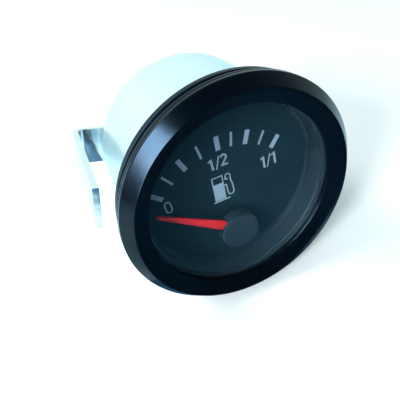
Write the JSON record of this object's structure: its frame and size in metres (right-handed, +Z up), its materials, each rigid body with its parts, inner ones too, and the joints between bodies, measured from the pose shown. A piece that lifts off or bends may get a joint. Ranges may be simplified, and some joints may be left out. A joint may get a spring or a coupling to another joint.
{
  "type": "fuel gauge",
  "caption": "Round panel fuel gauge: black bezel, glass, red pointer on a part-round scale, pull-out lamp, blade terminals and a U bracket with knurled nuts.",
  "frame": {"origin": "on the axis, where the rear face of the panel gasket meets the panel", "axes": "+Y along the axis, from the dial to the terminals; +Z up, as the dial's marks read; +X to the right of someone who reads the dial"},
  "size_m": [0.067, 0.059, 0.059],
  "materials": {
    "black_lacquer": "satin black lacquer",
    "clear_glass": "clear, polished",
    "black_rubber": "matt",
    "zinc_plated_steel": "bright zinc plating",
    "grey_liner": "satin dark grey",
    "dial_paint": "matt blue-black",
    "mark_paint": "matt pale grey",
    "bright_steel": "bright",
    "pointer_red": "red",
    "black_plastic": "satin black",
    "brass": "turned",
    "magnet_grey": "ground",
    "copper": "enamelled wire",
    "white_plastic": "white, matt",
    "board_green": "green lacquer",
    "resistor_tan": "glazed",
    "tinned_brass": "tinned",
    "bulb_clear": "clear",
    "filament_grey": "drawn wire",
    "clamp_steel": "bright zinc plating",
    "nut_brass": "nickel plated, knurled"
  },
  "bodies": {
    "gauge": {"bezel_ring": "black_lacquer", "lens": "clear_glass", "lens_seal": "black_rubber", "panel_gasket": "black_rubber", "case": "zinc_plated_steel", "spacer_ring": "grey_liner", "dial_plate": "dial_paint", "scale_marks": "mark_paint", "stop_pins": "bright_steel", "front_bearing": "brass", "rear_bearing": "brass", "bobbin_front": "black_plastic", "bobbin_rear": "black_plastic", "coil_inner": "copper", "coil_outer": "copper", "shield_cup": "bright_steel", "movement_plate": "bright_steel", "plate_screws": "bright_steel", "bobbin_screws": "bright_steel", "light_box": "white_plastic", "circuit_board": "board_green", "ballast_resistor": "resistor_tan", "coil_pins": "brass", "terminal_ignition": "tinned_brass", "terminal_sender": "tinned_brass", "terminal_earth": "tinned_brass", "terminal_block": "black_plastic", "clamp_studs": "zinc_plated_steel"},
    "pointer": {"pointer": "pointer_red", "hub_cap": "black_plastic", "counterweight": "brass", "spindle": "bright_steel", "magnet_rotor": "magnet_grey"},
    "clamp": {"clamp_bracket": "clamp_steel", "lock_washers": "bright_steel"},
    "nut_left": {"clamp_nut_left": "nut_brass"},
    "nut_right": {"clamp_nut_right": "nut_brass"},
    "lamp": {"lamp_holder": "black_plastic", "lamp_contacts": "tinned_brass", "bulb_glass": "bulb_clear", "bulb_filament": "filament_grey"}
  },
  "joints": [
    {"name": "pointer_swing", "type": "hinge", "parent": "gauge", "child": "pointer", "pos_m": [-0.0008, 0.0037, -0.0119], "axis": [0, 1, 0], "range_deg": [0, 101]},
    {"name": "clamp_slide", "type": "slide", "parent": "gauge", "child": "clamp", "axis": [0, 1, 0], "range_m": [-0.0008, 0.006]},
    {"name": "nut_left_turn", "type": "hinge", "parent": "clamp", "child": "nut_left", "pos_m": [-0.0106, 0.0372, 0.00294], "axis": [0, 1, 0], "range_deg": [-411, 3086]},
    {"name": "nut_right_turn", "type": "hinge", "parent": "clamp", "child": "nut_right", "pos_m": [0.0106, 0.0372, -0.00294], "axis": [0, 1, 0], "range_deg": [-411, 3086]},
    {"name": "lamp_pull", "type": "slide", "parent": "gauge", "child": "lamp", "axis": [0, 1, 0], "range_m": [0, 0.026]}
  ],
  "couplings": [
    {"joint": "nut_left_turn", "follows": "clamp_slide", "rad_per_m": 8976},
    {"joint": "nut_right_turn", "follows": "clamp_slide", "rad_per_m": 8976}
  ]
}
